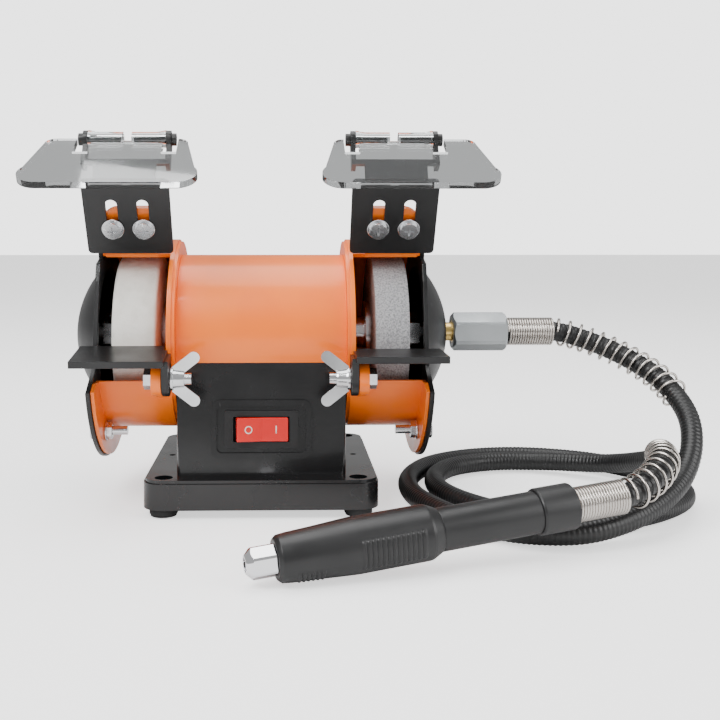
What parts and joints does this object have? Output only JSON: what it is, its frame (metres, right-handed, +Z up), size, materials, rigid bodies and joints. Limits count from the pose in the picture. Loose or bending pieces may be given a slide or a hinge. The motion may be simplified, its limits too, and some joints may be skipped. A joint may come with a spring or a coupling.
{
  "type": "bench grinder",
  "caption": "Small bench grinder with a felt wheel, a grinding wheel, clear eye shields, tool rests and a flexible shaft with a collet handpiece.",
  "frame": {"origin": "centre of the four bench-bolt holes, in the plane the rubber feet stand on", "axes": "+Z up, +X towards the flexible-shaft end of the spindle, on the user's right, +Y away from the user"},
  "size_m": [0.3024, 0.2032, 0.1703],
  "materials": {
    "black_casting": "gloss black enamel on a die casting",
    "orange_paint": "gloss orange enamel",
    "black_steel": "satin black powder coat on sheet steel",
    "zinc_sheet": "zinc-plated sheet",
    "rubber": "moulded rubber",
    "black_plastic": "fine-grained moulded plastic",
    "red_plastic": "moulded red rocker",
    "cream_plastic": "moulded terminal strip",
    "lamination_steel": "stacked laminations",
    "copper": "enamelled copper",
    "brass": "turned brass",
    "carbon": "pressed carbon",
    "bright_steel": "turned steel",
    "plated_screws": "bright zinc-plated fasteners",
    "black_screws": "black oxide screws",
    "dark_plastic": "moulded fan",
    "felt": "pressed white wool felt",
    "grindstone": "bonded aluminium-oxide grit, a ceramic",
    "clear_acrylic": "polished clear acrylic",
    "zinc_alloy": "machined zinc alloy, dull",
    "spring_steel": "nickel-plated spring wire",
    "hose_rubber": "finely ribbed rubber sheath",
    "chrome": "polished chrome plate"
  },
  "bodies": {
    "frame": {"base_housing": "black_casting", "motor_barrel": "orange_paint", "left_guard": "orange_paint", "right_guard": "orange_paint", "left_cover": "black_steel", "right_cover": "black_steel", "bottom_plate": "zinc_sheet", "rubber_feet": "rubber", "switch_body": "black_plastic", "cable_gland": "black_plastic", "hand_front_body": "black_plastic", "hand_rear_tube": "black_plastic", "hand_collar": "black_plastic", "terminal_block": "cream_plastic", "stator_core": "lamination_steel", "field_coils": "copper", "brush_holders": "brass", "shaft_outlet": "brass", "carbon_brushes": "carbon", "bearing_outer_races": "bright_steel", "hand_bearings": "bright_steel", "base_screws": "plated_screws", "cover_bolts": "plated_screws", "cover_nuts": "plated_screws", "rest_bolts": "plated_screws", "bracket_screws": "plated_screws", "bracket_washers": "plated_screws", "machine_ferrule_spring": "spring_steel", "machine_open_spring": "spring_steel", "hand_ferrule_spring": "spring_steel", "hand_open_spring": "spring_steel", "hose": "hose_rubber"},
    "rotor": {"spindle": "bright_steel", "armature_core": "lamination_steel", "armature_windings": "copper", "commutator": "copper", "cooling_fan": "dark_plastic", "bearing_inner_races": "bright_steel", "felt_wheel": "felt", "grinding_wheel": "grindstone", "wheel_flanges": "bright_steel", "spindle_nuts": "bright_steel"},
    "rocker": {"switch_rocker": "red_plastic"},
    "left_rest": {"left_tool_rest": "black_steel"},
    "right_rest": {"right_tool_rest": "black_steel"},
    "left_wing": {"left_wing_nut": "plated_screws"},
    "right_wing": {"right_wing_nut": "plated_screws"},
    "left_bracket": {"left_bracket": "black_steel", "left_hinge_screws": "black_screws"},
    "right_bracket": {"right_bracket": "black_steel", "right_hinge_screws": "black_screws"},
    "left_shield": {"left_eye_shield": "clear_acrylic"},
    "right_shield": {"right_eye_shield": "clear_acrylic"},
    "coupling": {"coupling_nut": "zinc_alloy"},
    "hand_rotor": {"hand_spindle": "bright_steel", "collet": "chrome"},
    "collet_nut": {"collet_nut": "chrome"}
  },
  "joints": [
    {"name": "spindle_spin", "type": "hinge", "parent": "frame", "child": "rotor", "pos_m": [0, 0, 0.0765], "axis": [1, 0, 0], "continuous": true},
    {"name": "handpiece_spin", "type": "hinge", "parent": "frame", "child": "hand_rotor", "pos_m": [-0.004, -0.139, 0.008], "axis": [-0.965, -0.246, -0.0906], "continuous": true},
    {"name": "collet_nut_turn", "type": "hinge", "parent": "hand_rotor", "child": "collet_nut", "pos_m": [-0.004, -0.139, 0.008], "axis": [-0.965, -0.246, -0.0906], "range_deg": [0, 360]},
    {"name": "coupling_nut_turn", "type": "hinge", "parent": "frame", "child": "coupling", "pos_m": [0.1, 0, 0.0765], "axis": [1, 0, 0], "range_deg": [0, 360]},
    {"name": "switch_rock", "type": "hinge", "parent": "frame", "child": "rocker", "pos_m": [0, -0.039, 0.0365], "axis": [0, 0.0995, 0.995], "range_deg": [-16, 0]},
    {"name": "left_rest_tilt", "type": "hinge", "parent": "frame", "child": "left_rest", "pos_m": [-0.041, -0.055, 0.0615], "axis": [1, 0, 0], "range_deg": [-15, 22]},
    {"name": "left_wing_nut_turn", "type": "hinge", "parent": "frame", "child": "left_wing", "pos_m": [-0.036, -0.055, 0.0615], "axis": [1, 0, 0], "range_deg": [0, 360]},
    {"name": "left_bracket_slide", "type": "slide", "parent": "frame", "child": "left_bracket", "axis": [0, -0.5299, 0.848], "range_m": [-0.002, 0.0015]},
    {"name": "left_shield_tilt", "type": "hinge", "parent": "left_bracket", "child": "left_shield", "pos_m": [-0.0595, -0.03603, 0.16612], "axis": [1, 0, 0], "range_deg": [-80, 12]},
    {"name": "right_rest_tilt", "type": "hinge", "parent": "frame", "child": "right_rest", "pos_m": [0.041, -0.055, 0.0615], "axis": [1, 0, 0], "range_deg": [-12, 28]},
    {"name": "right_wing_nut_turn", "type": "hinge", "parent": "frame", "child": "right_wing", "pos_m": [0.036, -0.055, 0.0615], "axis": [1, 0, 0], "range_deg": [0, 360]},
    {"name": "right_bracket_slide", "type": "slide", "parent": "frame", "child": "right_bracket", "axis": [0, -0.5299, 0.848], "range_m": [-0.002, 0.0015]},
    {"name": "right_shield_tilt", "type": "hinge", "parent": "right_bracket", "child": "right_shield", "pos_m": [0.0595, -0.03603, 0.16612], "axis": [1, 0, 0], "range_deg": [-80, 12]}
  ],
  "couplings": [
    {"joint": "handpiece_spin", "follows": "spindle_spin", "ratio": 1}
  ]
}
